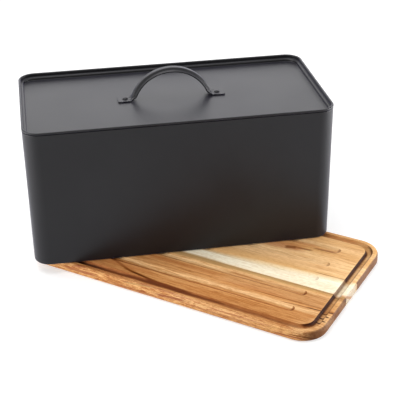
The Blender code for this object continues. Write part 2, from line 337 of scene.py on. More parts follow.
def finish_sheet(obj, body, node, coat):
    """Even out the shading of a coated sheet, make its modifiers part of its mesh, and dress it."""
    even_shading(obj)
    bake_modifiers(obj)
    dress(obj, body, node, coat)


def smooth_step(value):
    """Ease from 0 to 1."""
    value = min(max(value, 0), 1)
    return value * value * (3 - 2 * value)


class Graph:
    """The node tree of one material, with short ways to add to it."""

    def __init__(self, name):
        self.material = bpy.data.materials.new(name)
        self.material.use_nodes = True
        self.tree = self.material.node_tree
        self.shader = self.tree.nodes["Principled BSDF"]
        self.coordinates = self.tree.nodes.new("ShaderNodeTexCoord")

    def feed(self, socket, value):
        """Link a socket to another, or set its value."""
        if isinstance(value, bpy.types.NodeSocket):
            self.tree.links.new(value, socket)
        else:
            socket.default_value = value

    def node(self, kind, inputs, **settings):
        """Add a node with its settings and its inputs."""
        node = self.tree.nodes.new("ShaderNode" + kind)
        for name, value in settings.items():
            setattr(node, name, value)
        for key, value in inputs.items():
            self.feed(node.inputs[key], value)
        return node

    def math(self, operation, *values):
        """One arithmetic step."""
        return self.node("Math", dict(enumerate(values)), operation=operation).outputs[0]

    def scaled(self, vector, factors, offset=(0, 0, 0)):
        """A vector times factors, plus an offset."""
        node = self.node("VectorMath", {0: vector, 1: factors, 2: offset}, operation="MULTIPLY_ADD")
        return node.outputs["Vector"]

    def noise(self, vector, detail, roughness=0.5):
        """Noise of unit scale at a scaled vector, from 0 to 1 about 0.5."""
        inputs = {"Vector": vector, "Scale": 1, "Detail": detail, "Roughness": roughness}
        return self.node("TexNoise", inputs).outputs["Fac"]

    def span(self, value, low, high, bottom=0, top=1, kind="SMOOTHSTEP"):
        """Ease from bottom to top while a value goes from low to high."""
        inputs = {"Value": value, "From Min": low, "From Max": high, "To Min": bottom, "To Max": top}
        return self.node("MapRange", inputs, interpolation_type=kind).outputs["Result"]

    def line(self, value, *limits):
        """Do the same as span in a straight line."""
        return self.span(value, *limits, kind="LINEAR")

    def blend(self, factor, first, second, kind="MIX"):
        """Mix two colours."""
        node = self.node("Mix", {"Factor": factor, 6: first, 7: second}, data_type="RGBA", blend_type=kind)
        return node.outputs[2]

    def layer(self, colour, value, shade, share=1, area=None):
        """Multiply a colour by a shade's tone where a value lies in its span, inside an area if given."""
        low, high, strength, tone = shade
        mask = self.span(value, low, high, 0, strength * share)
        if area:
            mask = self.math("MULTIPLY", area, mask)
        return self.blend(mask, colour, (*tone, 1), "MULTIPLY")

    def grain(self, place, pattern):
        """Noise drawn out along the grain, from a pattern of (length, width, detail, roughness)."""
        length, width, detail, roughness = pattern
        return self.noise(self.scaled(place, (1 / length, 1 / width, 1 / width)), detail, roughness)

    def attribute(self, name):
        """A number kept with the points of the mesh."""
        return self.node("Attribute", {}, attribute_name=name).outputs["Fac"]

    def ramp(self, value, stops):
        """Colours along a value from 0 to 1."""
        node = self.node("ValToRGB", {"Fac": value})
        elements = node.color_ramp.elements
        for place, _ in stops[2:]:
            elements.new(place)
        for element, (place, colour) in zip(elements, stops):
            element.position = place
            element.color = colour
        return node.outputs["Color"]

    def bump(self, height, distance, strength, normal=None):
        """A normal bent by a height."""
        inputs = {"Height": height, "Distance": distance, "Strength": strength}
        if normal:
            inputs["Normal"] = normal
        return self.node("Bump", inputs).outputs["Normal"]

    def shade(self, inputs):
        """Link or set the shader's own sockets, and give the material."""
        for name, value in inputs.items():
            self.feed(self.shader.inputs[name], value)
        return self.material


def srgb(red, green, blue):
    """A colour given as it looks on a screen, in steps of 255."""
    parts = []
    for value in (red, green, blue):
        share = value / 255
        parts.append(share / 12.92 if share <= 0.04045 else ((share + 0.055) / 1.055) ** 2.4)
    return (*parts, 1)


def make_coat(name, base, roughness, specular):
    """Satin powder coat: a fine even texture over a slow orange peel."""
    graph = Graph(name)
    place = graph.scaled(graph.coordinates.outputs["Object"], (1 / mm,) * 3)
    cloud = graph.noise(graph.scaled(place, (coat_cloud_scale,) * 3), 3)
    speck = graph.noise(graph.scaled(place, (coat_speck_scale,) * 3), 2)
    peel = graph.noise(graph.scaled(place, (coat_peel_scale,) * 3), 2)
    light = (*[part * (1 + coat_contrast) for part in base], 1)
    dark = (*[part * (1 - coat_contrast) for part in base], 1)
    clouded = graph.span(cloud, *noise_span)
    slow = graph.line(cloud, *noise_span, roughness - coat_slow_change, roughness + coat_slow_change)
    fine = graph.line(speck, *noise_span, -coat_fine_change, coat_fine_change)
    coarse = graph.bump(peel, coat_peel_depth, coat_peel_strength)
    return graph.shade({
        "Base Color": graph.blend(clouded, dark, light),
        "Roughness": graph.math("ADD", slow, fine),
        "Normal": graph.bump(speck, coat_speck_depth, coat_speck_strength, coarse),
        "Specular IOR Level": specular,
        "Specular Tint": coat_specular_tint,
        "Sheen Weight": coat_sheen,
        "Sheen Tint": coat_sheen_tint,
        "Sheen Roughness": coat_sheen_roughness,
    })


# Tones of the wood, from its pale sapwood to the dark lines of its heartwood
pale = srgb(253, 242, 215)
cream = srgb(246, 220, 175)
honey = srgb(244, 203, 149)
gold = srgb(229, 181, 121)
amber = srgb(216, 160, 101)
tan = srgb(202, 144, 86)
olive = srgb(178, 142, 92)
fawn = srgb(206, 155, 102)
caramel = srgb(200, 142, 84)
russet = srgb(190, 118, 66)
umber = srgb(118, 60, 12)
rose = srgb(178, 112, 84)
rust = srgb(146, 80, 50)
soot = srgb(70, 33, 6)

# Bands across each stave, as places in mm across the board from its middle, each with its tone
stave_bands = (
    ((-100, gold), (-90, tan), (-82, tan), (-72, amber), (-66, tan), (-61, honey), (-54, amber)),
    ((-54, tan), (-47, amber), (-40, tan), (-35, gold), (-30, honey), (-25, gold), (-20, olive)),
    ((-26, olive), (-21, cream), (-16, pale), (2, pale), (8, cream), (12, gold), (18, gold)),
    ((10, gold), (18, honey), (28, honey), (37, honey), (44, honey), (51, gold), (57, gold)),
    ((54, gold), (60, gold), (70, honey), (78, gold), (88, gold), (94, gold), (102, tan)),
)

# Marks that stand out: from along, across to along, across, half the width and softness, all in mm, then
# strength and tone
stave_marks = (
    (
        (10, -103, 100, -103, 5, 4, 0.4, honey),
        (-88, -65.5, -50, -80.5, 0.8, 1.5, 0.95, umber),
        (-56, -79.3, -16, -86, 1, 1.4, 1, umber),
        (-48, -81.3, -20, -85.4, 0.4, 0.9, 0.8, soot),
        (-26, -85.4, 30, -87.4, 0.7, 1.4, 0.95, umber),
        # The next four marks darken the near groove's inner wall: partly burnt, oiled wood, partly painted
        # shade
        (-116, -88, -78, -87.4, 0.6, 1.2, 0.95, soot),
        (-90, -87.5, 4, -87.3, 0.4, 1.3, 0.9, umber),
        (0, -87.5, 70, -87.3, 0.4, 1.1, 0.85, umber),
        (70, -88, 160, -88, 0.3, 1.6, 0.4, umber),
        (-124, -109, -84, -108, 1.6, 2.4, 0.75, rust),
        (-114, -102, -98, -97, 1.2, 2, 0.7, rust),
        (-46, -103, -12, -98, 0.8, 1.6, 0.6, olive),
        (-6, -108.5, 28, -105, 1.4, 1.8, 0.8, rust),
        (-30, -96, 40, -99, 0.6, 1.6, 0.4, rose),
        (-64, -112, -10, -114, 0.8, 2, 0.6, rust),
        (34, -110, 110, -112, 0.7, 1.8, 0.5, rust),
        (60, -103, 130, -104, 0.5, 1.4, 0.45, rose),
        (150, -97, 184, -66, 7, 7, 0.7, honey),
        (136, -113, 166, -110, 0.7, 1, 0.9, rust),
        (150, -108, 178, -104, 0.6, 0.9, 0.85, umber),
        (-118, -84, -44, -92, 4, 8, 0.35, russet),
        (-88, -74, -30, -72, 1, 5, 0.45, russet),
        (123, -57.2, 150, -55.4, 0.15, 0.7, 0.75, umber),
        (150, -55.4, 168, -54, 0.45, 0.7, 0.95, soot),
        (168, -54, 184, -52.5, 0.6, 0.7, 1, soot),
        (167, -62, 177, -62, 0.7, 0.7, 1, soot),
        (167, -71, 177, -71, 0.7, 0.7, 1, soot),
        (40, -78, 175, -79, 5, 9, 0.75, caramel),
    ),
    (
        (40, -51, 135, -48, 0.3, 1.4, 0.5, russet),
        (70, -46.5, 126, -44, 0.3, 1.2, 0.4, russet),
        (-60, -23.5, 60, -22.5, 2, 3, 0.6, olive),
        (60, -22.5, 135, -24, 0.8, 3, 0.5, olive),
        (-50, -42, 40, -43, 2, 4, 0.35, russet),
        (95, -52, 168, -49.5, 0.2, 1, 0.5, umber),
        (50, -40, 172, -40, 7, 8, 0.85, fawn),
        (172, -25, 184, -26, 1, 4, 0.45, umber),
        (166, -36, 184, -40, 4, 8, 0.6, gold),
    ),
    (
        (-60, -19, 30, -19, 0.6, 1.8, 0.6, olive),
        (132, 11.6, 170, 11.4, 0.2, 1.3, 0.6, umber),
        (166, -19.4, 184, -19.4, 0.8, 4, 0.75, tan),
        (170, 12, 184, 12, 0.6, 3, 0.6, gold),
    ),
    (
        (55, 46, 100, 49, 4, 6, 0.65, russet),
        (80, 45, 92, 49, 1.8, 2.2, 0.8, umber),
        (92, 49, 110, 51, 0.9, 1.6, 0.7, umber),
        (60, 20, 160, 22, 1, 4, 0.3, tan),
    ),
    (
        (110, 56.5, 136, 58.5, 0.5, 2.2, 0.7, umber),
        (66, 59, 112, 62, 1, 5, 0.45, russet),
        (90, 92, 150, 90, 1, 4, 0.4, russet),
    ),
)

# For each stave: how strongly it shows its streaks, how much painted shade its flutes get, how flamed its
# near rim is, how dark its groove walls facing +X are, how dark its cut end is, and how far its tones lean
# across the grain
stave_shares = (
    (1, 0.9, 1, 0.92, 0.85, 0),
    (0.9, 0.9, 0, 0.92, 0.9, 0),
    (0.25, 0.1, 0, 0.35, 0.6, 0.075),
    (0.6, 0.35, 0, 0.9, 1, 0),
    (0.6, 0.5, 0, 0.92, 1, 0),
)

# Patterns of the wood: length and width in mm, detail and roughness, and how each stave shifts them
wander_grain = (120, 45, 2, 0.5)
waver_grain = (26, 9, 3, 0.5)
streak_grain = (48, 2.4, 4, 0.68)
thread_grain = (16, 0.8, 3, 0.65)
mottle_grain = (5, 2.6, 3, 0.6)
pore_grain = (4, 0.3, 2, 0.5)
tongue_grain = (9, 1.1, 4, 0.75)
fleck_grain = (4.5, 1.4, 3, 0.7)
pore_span = (0.6, 0.72)
cloud_length = 85
cloud_width = 6
cloud_detail = (3, 0.55)
cloud_shift = 3.7
grain_shift = (37, 11, 5)

# Shades laid over a pattern: where on its scale they start and are full, how strong they are, their tone
cloud_shade = (0.46, 0.74, 0.7, (0.80, 0.64, 0.46))
cloud_glow = (0.50, 0.26, 0.6, (1.08, 1.12, 1.2))
streak_shade = (0.49, 0.65, 0.8, (0.70, 0.54, 0.38))
thread_shade = (0.47, 0.68, 0.75, (0.66, 0.5, 0.36))
mottle_shade = (0.4, 0.7, 0.62, (0.86, 0.78, 0.68))
tongue_shade = (0.46, 0.56, 1, (0.74, 0.54, 0.44))
tongue_core_shade = (0.56, 0.64, 1, (0.54, 0.32, 0.24))
fleck_shade = (0.52, 0.64, 0.8, (0.66, 0.5, 0.4))
ring_strength = 0.35
ring_tone = (0.66, 0.46, 0.3, 1)
pore_strength = 0.45
pore_tone = (0.5, 0.34, 0.22, 1)

# Shades laid by the way a face looks in the board's own frame, in the same form
# Both cut ends darker: partly end grain, partly painted shade
end_grain_and_painted_shade = (0.25, 0.8, 1, (0.2, 0.15, 0.16))
# Groove walls facing +X darker: partly end grain, partly painted shade
x_facing_groove_wall_shade = (0.12, 0.6, 1, (0.3, 0.15, 0.05))
# Inner groove walls darker: partly a real stain, partly painted shade
inner_groove_stain_and_shade = (0.99, 0.75, 0.6, (0.6, 0.42, 0.28))
# Painted shade on the groove floors
groove_floor_painted_shade = (0.7, 0.97, 0.3, (0.7, 0.56, 0.42))
# Painted shade on the flute walls that face the back of the board
flute_near_side_painted_shade = (0.1, 0.34, 1, (0.5, 0.32, 0.2))
# Painted highlight on the flute walls that face the front of the board
flute_far_side_painted_highlight = (0, -0.2, 0.3, (1.14, 1.16, 1.2))
# Flute ends facing -X darker: partly end grain, partly painted shade
flute_end_grain_and_shade = (-0.04, -0.24, 1, (0.4, 0.24, 0.14))
flute_end_extra_shade = 0.25

# Where and how far the patterns bend the tones, rings and marks: places and lengths in mm, else shares
wander_reach = 5
waver_reach = 2.2
tone_ripple = 0.35
lean_start = 150
lean_span = (-14, -2)
rim_span = (-89, -97)
flame_span = (-20, 60)
flame_kept = 0.7
ring_tilt = 0.6
ring_pitch = 6.5
ring_warp = 2.2
ring_sharpness = 4
mark_slant = 1.6
mark_waver = 0.4
mark_jag = 1.4
mark_taper = 0.16
broad_mark = 4
band_reach = 110

# Oiled surface
wood_roughness = (0.5, 0.62)
wood_relief = 0.08 * mm
wood_relief_strength = 0.6
thread_relief = 0.5
wood_specular = 0.12


def band_place(v):
    """Where a place across the board, in mm, lies along a colour ramp."""
    return (v + band_reach) / (2 * band_reach)


def add_mark(graph, along, across, colour, mark):
    """Draw one soft stroke of another tone between two points of the board."""
    u0, v0, u1, v1, half_width, softness, strength, tone = mark
    length = math.hypot(u1 - u0, v1 - v0)
    step_u, step_v = (u1 - u0) / length, (v1 - v0) / length
    from_u = graph.math("SUBTRACT", along, u0)
    from_v = graph.math("SUBTRACT", across, v0)
    run = graph.math("MULTIPLY_ADD", from_u, step_u, graph.math("MULTIPLY", from_v, step_v))
    off = graph.math("MULTIPLY_ADD", from_v, step_u, graph.math("MULTIPLY", from_u, -step_v))
    beside = graph.span(graph.math("ABSOLUTE", off), half_width + softness, half_width)
    taper = length * mark_taper
    start = graph.span(run, -taper, taper)
    stop = graph.span(run, length + taper, length - taper)
    ends = graph.math("MULTIPLY", start, stop)
    mask = graph.math("MULTIPLY", ends, graph.math("MULTIPLY", beside, strength))
    return graph.blend(mask, colour, tone)


def make_wood(name, bands, marks, seed, strong, flute_painted_shade, flame, groove_wall_darkening, end_darkening, skew):
    """Oiled hardwood: tone bands along the grain, rings, streaks and pores, darker on cut ends.

    The bands come first, then the broad marks, the figure, the flamed near rim, the fine marks, and last
    the layers set by the way each face looks: darker cut ends, groove walls and flute ends, partly real
    and partly painted shade, painted shade in the groove floors and on the near sides of the flutes, and a
    painted highlight on their far sides. The last six arguments are a row of stave_shares.
    """
    graph = Graph(name)
    surface = graph.coordinates.outputs
    own = {"Vector": surface["Object"], "Location": board_place, "Rotation": (0, 0, board_turn)}
    place = graph.scaled(graph.node("Mapping", own, vector_type="TEXTURE").outputs[0], (1 / mm,) * 3)
    shifted = graph.scaled(place, (1, 1, 1), [seed * shift for shift in grain_shift])
    parts = graph.node("SeparateXYZ", {0: place}).outputs
    along, across, level = parts["X"], parts["Y"], parts["Z"]

    wander = graph.line(graph.grain(shifted, wander_grain), 0, 1, -wander_reach, wander_reach)
    waver = graph.line(graph.grain(shifted, waver_grain), 0, 1, -waver_reach, waver_reach)
    ripple = graph.math("ADD", wander, waver)
    warped = graph.math("ADD", across, ripple)
    from_start = graph.math("SUBTRACT", lean_start, along)
    lean = graph.math("MULTIPLY", from_start, graph.span(across, *lean_span, 0, skew))
    toned = graph.math("ADD", graph.math("MULTIPLY_ADD", ripple, tone_ripple, across), lean)
    stops = [(band_place(v), tone) for v, tone in bands]
    colour = graph.ramp(graph.line(toned, -band_reach, band_reach), stops)

    slope = graph.math("MULTIPLY_ADD", level, ring_tilt, warped)
    rise_along = graph.math("MULTIPLY", along, 1 / cloud_length)
    rise_across = graph.math("MULTIPLY", slope, 1 / cloud_width)
    rise = graph.node("CombineXYZ", {0: rise_along, 1: rise_across, 2: seed * cloud_shift}).outputs[0]
    cloud = graph.noise(rise, *cloud_detail)
    streak = graph.grain(shifted, streak_grain)
    thread = graph.grain(shifted, thread_grain)
    mottle = graph.grain(shifted, mottle_grain)
    pores = graph.span(graph.grain(shifted, pore_grain), *pore_span)
    turns = graph.math("MULTIPLY_ADD", slope, 1 / ring_pitch, graph.math("MULTIPLY", cloud, ring_warp))
    ring = graph.math("POWER", graph.math("FRACT", turns), ring_sharpness)

    groove = graph.attribute("groove")
    depth = graph.math("SUBTRACT", level, board_thickness / mm)
    drop = graph.math("MULTIPLY", depth, graph.math("SUBTRACT", 1, groove))
    slanted = graph.math("MULTIPLY_ADD", drop, mark_slant, across)
    jagged = graph.math("MULTIPLY_ADD", streak, mark_jag, slanted)
    jagged = graph.math("MULTIPLY_ADD", waver, mark_waver, jagged)
    jagged = graph.math("SUBTRACT", jagged, mark_jag / 2)
    for mark in marks:
        if mark[4] >= broad_mark:
            colour = add_mark(graph, along, jagged, colour, mark)

    colour = graph.layer(colour, cloud, cloud_shade, strong)
    colour = graph.layer(colour, cloud, cloud_glow)
    colour = graph.layer(colour, streak, streak_shade, strong)
    colour = graph.layer(colour, thread, thread_shade, strong)
    colour = graph.layer(colour, mottle, mottle_shade)
    ringed = graph.math("MULTIPLY", ring, ring_strength * strong)
    colour = graph.blend(ringed, colour, ring_tone, "MULTIPLY")
    pored = graph.math("MULTIPLY", pores, pore_strength * strong)
    colour = graph.blend(pored, colour, pore_tone, "MULTIPLY")

    tongues = graph.grain(shifted, tongue_grain)
    rim = graph.span(across, *rim_span)
    flamed = graph.math("MULTIPLY", rim, graph.span(along, *flame_span, flame, flame_kept * flame))
    colour = graph.layer(colour, tongues, tongue_shade, 1, flamed)
    colour = graph.layer(colour, tongues, tongue_core_shade, 1, flamed)
    colour = graph.layer(colour, graph.grain(shifted, fleck_grain), fleck_shade, flame, rim)

    for mark in marks:
        if mark[4] < broad_mark:
            colour = add_mark(graph, along, jagged, colour, mark)

    turned = {"Vector": surface["Normal"], "Rotation": (0, 0, board_turn)}
    facing = graph.node("Mapping", turned, vector_type="TEXTURE").outputs[0]
    normal = graph.node("SeparateXYZ", {0: facing}).outputs
    # Cut ends darker: partly end grain, partly painted shade
    colour = graph.layer(colour, graph.math("ABSOLUTE", normal["X"]), end_grain_and_painted_shade, end_darkening)
    inside = graph.attribute("groove_inside")
    flute = graph.attribute("flute")
    # Groove walls facing +X darker: partly end grain, partly painted shade
    colour = graph.layer(colour, normal["X"], x_facing_groove_wall_shade, groove_wall_darkening, groove)
    # Inner groove walls darker: partly a real stain, partly painted shade
    colour = graph.layer(colour, normal["Z"], inner_groove_stain_and_shade, 1, inside)
    # Painted shade on the groove floors
    colour = graph.layer(colour, normal["Z"], groove_floor_painted_shade, 1, groove)
    # Painted shade on the flute walls that face the back of the board
    colour = graph.layer(colour, normal["Y"], flute_near_side_painted_shade, flute_painted_shade, flute)
    # Painted highlight on the flute walls that face the front of the board
    colour = graph.layer(colour, normal["Y"], flute_far_side_painted_highlight, 1, flute)
    # Flute ends facing -X darker: partly end grain, partly painted shade
    colour = graph.layer(colour, normal["X"], flute_end_grain_and_shade, min(flute_painted_shade + flute_end_extra_shade, 1), flute)

    height = graph.math("SUBTRACT", graph.math("MULTIPLY", thread, thread_relief), pores)
    return graph.shade({
        "Base Color": colour,
        "Roughness": graph.line(thread, *noise_span, *wood_roughness),
        "Normal": graph.bump(height, wood_relief, wood_relief_strength),
        "Specular IOR Level": wood_specular,
    })


def pressed_sheet(name, half_length, half_width, radius, section, filled):
    """Sweep a section of (inset, level) points round an outline, and fill the last ring as a panel."""
    bm = bmesh.new()
    rings = [add_ring(bm, half_length, half_width, radius, inset, level) for inset, level in section]
    loft(bm, rings, True)
    if filled:
        bm.faces.new(rings[-1])
    bmesh.ops.recalc_face_normals(bm, faces=bm.faces)
    return mesh_from(bm, name)


def wall_section():
    """Section of the body wall, as distance in from its outer face and level above its foot."""
    half_sheet = sheet / 2
    fold = (sheet + hem_slot) / 2
    fold_level = mouth_level - bin_floor - half_sheet - fold
    section = [(half_sheet + foot_bend + foot_flange, half_sheet)]
    section += arc((half_sheet + foot_bend, half_sheet + foot_bend), foot_bend,
                   -math.pi / 2, -math.pi, bend_steps)
    low = half_sheet + foot_bend
    for step in range(1, straight_steps):
        section.append((half_sheet, low + (fold_level - low) * step / straight_steps))
    section += arc((half_sheet + fold, fold_level), fold, math.pi, 0, 2 * bend_steps)
    section.append((half_sheet + 2 * fold, fold_level + fold + half_sheet - hem_height))
    return section


def bow_in(mesh, half_length, half_width, low, high):
    """Let the flat walls lie in by a hair at their middle, as a rolled strip does."""
    for vertex in mesh.vertices:
        x, y, z = vertex.co
        rise = math.sin(math.pi * min(max((z - low) / (high - low), 0), 1))
        along_x = max(1 - (x / (half_length - corner_radius)) ** 2, 0) ** 2
        along_y = max(1 - (y / (half_width - corner_radius)) ** 2, 0) ** 2
        vertex.co.y -= math.copysign(wall_bow * rise * along_x, y)
        vertex.co.x -= math.copysign(end_wall_bow * rise * along_y, x)


def make_wall(coat):
    """The wrapped wall, with its lap and joint line up the middle of the back."""
    section = wall_section()
    mesh = pressed_sheet("wall", wall_half_length, wall_half_depth, corner_radius, section, False)
    lap_foot = 2 * sheet + seat_gap + base_rim + overrun
    lap_top = mouth_level - bin_floor - hem_height - overrun
    bow_in(mesh, wall_half_length, wall_half_depth, lap_foot, lap_top)
    wall = add_object("wall", mesh, (0, 0, bin_floor))
    solidify(wall, sheet)
    back = wall_half_depth - wall_bow
    lap = box_object("seam_lap", (-seam_lap / 2, back - 2 * sheet, lap_foot),
                     (seam_lap / 2, back - sheet / 2, lap_top), (0, 0, bin_floor))
    boolean(wall, lap, "UNION")
    line = box_object("seam_line", (-seam_line / 2, back - seam_line_depth, lap_foot),
                      (seam_line / 2, wall_half_depth + overrun, lap_top), (0, 0, bin_floor))
    boolean(wall, line, "DIFFERENCE")
    finish_sheet(wall, "bin", "body_wall", coat)
    remove(lap, line)


def make_pan(coat):
    """The floor of the bin: a shallow pan whose upturned rim fits inside the wall."""
    inset = sheet + seat_gap + sheet / 2
    level = sheet + seat_gap + sheet / 2
    section = [(inset, level + base_rim)]
    section += arc((inset + base_bend, level + base_bend), base_bend, math.pi, 1.5 * math.pi, bend_steps)
    mesh = pressed_sheet("floor_pan", wall_half_length, wall_half_depth, corner_radius, section, True)
    pan = add_object("floor_pan", mesh, (0, 0, bin_floor))
    solidify(pan, sheet)
    finish_sheet(pan, "bin", "base_pan", coat)


def lid_section():
    """Section of the lid, as distance in from the rim's outer face and level above the panel's top."""
    half_sheet = sheet / 2
    crest = ledge_depth + panel_step
    curl = (rim_roll - sheet) / 2
    curl_centre = (rim_roll / 2, crest - rim_roll / 2)
    ledge = crest - ledge_depth - half_sheet
    panel = -half_sheet
    section = arc(curl_centre, curl, rim_curl_angle, 0, curl_steps)
    step_inset = rim_roll - half_sheet
    section += arc((step_inset + lid_bend, ledge + lid_bend), lid_bend, math.pi, 1.5 * math.pi, bend_steps)
    edge = step_inset + lid_bend + ledge_width + step_bend
    section += arc((edge - ledge_round, ledge - ledge_round), ledge_round, math.pi / 2, 0, 2 * bend_steps)
    section += arc((edge + step_bend, panel + step_bend), step_bend, math.pi, 1.5 * math.pi, bend_steps)
    return section


def rivet_places():
    """Where the two rivets stand along the lid."""
    reach = arch_span / 2 + tab_reach - rivet_inset
    return (("left", -reach), ("right", reach))


def make_drills():
    """Drills for the rivet holes through the feet and the panel."""
    drills = []
    for side, place in rivet_places():
        bm = bmesh.new()
        radius = rivet_shank / 2 + rivet_clearance
        depth = 2 * (strap_sheet + sheet + seat_gap + overrun)
        bmesh.ops.create_cone(bm, cap_ends=True, segments=turn_steps, radius1=radius, radius2=radius,
                              depth=depth)
        name = "drill_" + side
        half_turn_step = math.pi / turn_steps
        drills.append(add_object(name, mesh_from(bm, name), (place, 0, panel_top), half_turn_step))
    return drills


def make_lid(coat, drills):
    """The pressed lid with its rolled rim and sunken panel."""
    mesh = pressed_sheet("lid", bin_half_length, bin_half_depth, corner_radius + rim_overhang,
                         lid_section(), True)
    lid = add_object("lid", mesh, (0, 0, panel_top))
    solidify(lid, sheet)
    for drill in drills:
        boolean(lid, drill, "DIFFERENCE")
    finish_sheet(lid, "lid", "lid_pan", coat)


def strap_path():
    """Middle line of the strap from the right foot's tip to the left one's.

    Each station has a place (x, z), the outward normal there, and its share of the full crown.
    """
    level = seat_gap + strap_sheet / 2
    top = arch_rise - strap_sheet / 2 - level
    half_span = arch_span / 2 - strap_sheet / 2
    radius = (half_span ** 2 + top ** 2) / (2 * top)
    centre = level + top - radius
    bend_centre_z = level + arch_foot_bend
    bend_centre_x = math.sqrt((radius + arch_foot_bend) ** 2 - (bend_centre_z - centre) ** 2)
    join = math.atan2(bend_centre_z - centre, bend_centre_x)
    tip = arch_span / 2 + tab_reach

    half = []
    for step in range(bend_steps + 1):
        along = tab_corner * (1 - math.cos(step / bend_steps * math.pi / 2))
        half.append((tip - along, level, 0.0, 1.0, 0.0))
    flat_start = tip - tab_corner
    for step in range(1, bend_steps):
        place = flat_start + (bend_centre_x - flat_start) * step / bend_steps
        half.append((place, level, 0.0, 1.0, 0.0))
    for step in range(2 * bend_steps + 1):
        share = step / (2 * bend_steps)
        angle = -math.pi / 2 - share * (math.pi / 2 - join)
        run = (share - 0.5) * (math.pi / 2 - join) * arch_foot_bend
        half.append((bend_centre_x + arch_foot_bend * math.cos(angle),
                     bend_centre_z + arch_foot_bend * math.sin(angle),
                     -math.cos(angle), -math.sin(angle), smooth_step(run / crown_run)))
    bend_run = 0.5 * (math.pi / 2 - join) * arch_foot_bend
    for step in range(1, arch_steps // 2 + 1):
        angle = join + (math.pi / 2 - join) * step / (arch_steps // 2)
        run = bend_run + (angle - join) * radius
        half.append((radius * math.cos(angle), centre + radius * math.sin(angle),
                     math.cos(angle), math.sin(angle), smooth_step(run / crown_run)))
    return half + [(-x, z, -nx, nz, crown) for x, z, nx, nz, crown in reversed(half[:-1])]


def strap_half_width(x, crown):
    """Half the strap's width, rounded off at the tips of the feet."""
    half_width = (tab_width + (strap_width - tab_width) * crown) / 2
    past = max(tab_corner - (arch_span / 2 + tab_reach - abs(x)), 0)
    return half_width - tab_corner + math.sqrt(tab_corner ** 2 - past ** 2)


def strap_section(half_width, crown):
    """Half the section across the strap, as (distance from the middle, drop).

    A pressed rib stands between narrow margins, and both flatten where the crown fades out.
    """
    bends_run = rib_bend * (2 * math.sin(rib_slope) - math.sin(margin_slope))
    margin_run = strap_width / 2 - rib_half_top - bends_run
    bends_drop = rib_bend * (1 + math.cos(margin_slope) - 2 * math.cos(rib_slope))
    margin_rise = math.tan(margin_slope)
    flank = (strap_crown - bends_drop - margin_run * margin_rise) / (
        math.sin(rib_slope) - math.cos(rib_slope) * margin_rise)
    steep = rib_slope * crown
    shallow = margin_slope * crown
    half = [(rib_half_top * step / bend_steps, 0) for step in range(bend_steps)]
    half += arc((rib_half_top, rib_bend), rib_bend, -math.pi / 2, steep - math.pi / 2, bend_steps)
    out = half[-1][0] + flank * math.cos(steep)
    drop = half[-1][1] + flank * math.sin(steep)
    centre = (out + rib_bend * math.sin(steep), drop - rib_bend * math.cos(steep))
    half += arc(centre, rib_bend, steep + math.pi / 2, shallow + math.pi / 2, bend_steps)
    out, drop = half[-1]
    for share in (0.5, 1):
        run = (half_width - out) * share
        half.append((out + run, drop + run * math.tan(shallow)))
    return half


def make_handle(coat, drills):
    """The strap handle, lofted from flat feet to a crowned arch."""
    bm = bmesh.new()
    rows = []
    for x, z, normal_x, normal_z, crown in strap_path():
        half_width = strap_half_width(x, crown)
        half = strap_section(half_width, crown)
        section = [(-across, drop) for across, drop in reversed(half)] + half[1:]
        rows.append([bm.verts.new((x - normal_x * drop, across, z - normal_z * drop))
                     for across, drop in section])
    loft(bm, rows, False)
    bmesh.ops.recalc_face_normals(bm, faces=bm.faces)
    strap = add_object("handle", mesh_from(bm, "handle"), (0, 0, panel_top))
    solidify(strap, strap_sheet)
    for drill in drills:
        boolean(strap, drill, "DIFFERENCE")
    soften_edges(strap, strap_edge_round)
    finish_sheet(strap, "lid", "handle_strap", coat)


def make_rivets(steel):
    """Domed rivets, each a turned profile, with the formed tail under the lid."""
    head_seat = 2 * seat_gap + strap_sheet
    tail_seat = -sheet - seat_gap
    dome_radius = ((rivet_head / 2) ** 2 + rivet_head_height ** 2) / (2 * rivet_head_height)
    dome_centre = head_seat + rivet_head_height - dome_radius
    dome_edge = math.asin(rivet_head / 2 / dome_radius)
    profile = arc((0, dome_centre), dome_radius, math.pi / 2, math.pi / 2 - dome_edge, 2 * bend_steps)
    profile += [(rivet_shank / 2, head_seat), (rivet_shank / 2, tail_seat)]
    tail_round = rivet_tail_height / 2
    profile += arc((rivet_tail / 2 - tail_round, tail_seat - tail_round), tail_round,
                   math.pi / 2, -math.pi / 2, 2 * bend_steps)
    profile.append((0, tail_seat - rivet_tail_height))
    for side, place in rivet_places():
        bm = bmesh.new()
        verts = [bm.verts.new((radius, 0, level)) for radius, level in profile]
        for vert, following in zip(verts, verts[1:]):
            bm.edges.new((vert, following))
        rivet = add_object(side + "_rivet", mesh_from(bm, side + "_rivet"), (place, 0, panel_top))
        screw = rivet.modifiers.new("turn", "SCREW")
        screw.steps = turn_steps
        screw.render_steps = turn_steps
        screw.use_merge_vertices = True
        screw.merge_threshold = merge_distance
        bake_modifiers(rivet, smooth_angle)
        dress(rivet, "lid", "rivet_" + side, steel)


def ring_solid(name, rings):
    """A closed solid through round-cornered rings of (half length, half width, radius, level)."""
    bm = bmesh.new()
    rows = [add_ring(bm, half_length, half_width, radius, 0, level)
            for half_length, half_width, radius, level in rings]
    loft(bm, rows, True)
    bm.faces.new(rows[0])
    bm.faces.new(rows[-1])
    bmesh.ops.remove_doubles(bm, verts=bm.verts, dist=merge_distance / 10)
    bmesh.ops.recalc_face_normals(bm, faces=bm.faces)
    return add_object(name, mesh_from(bm, name))


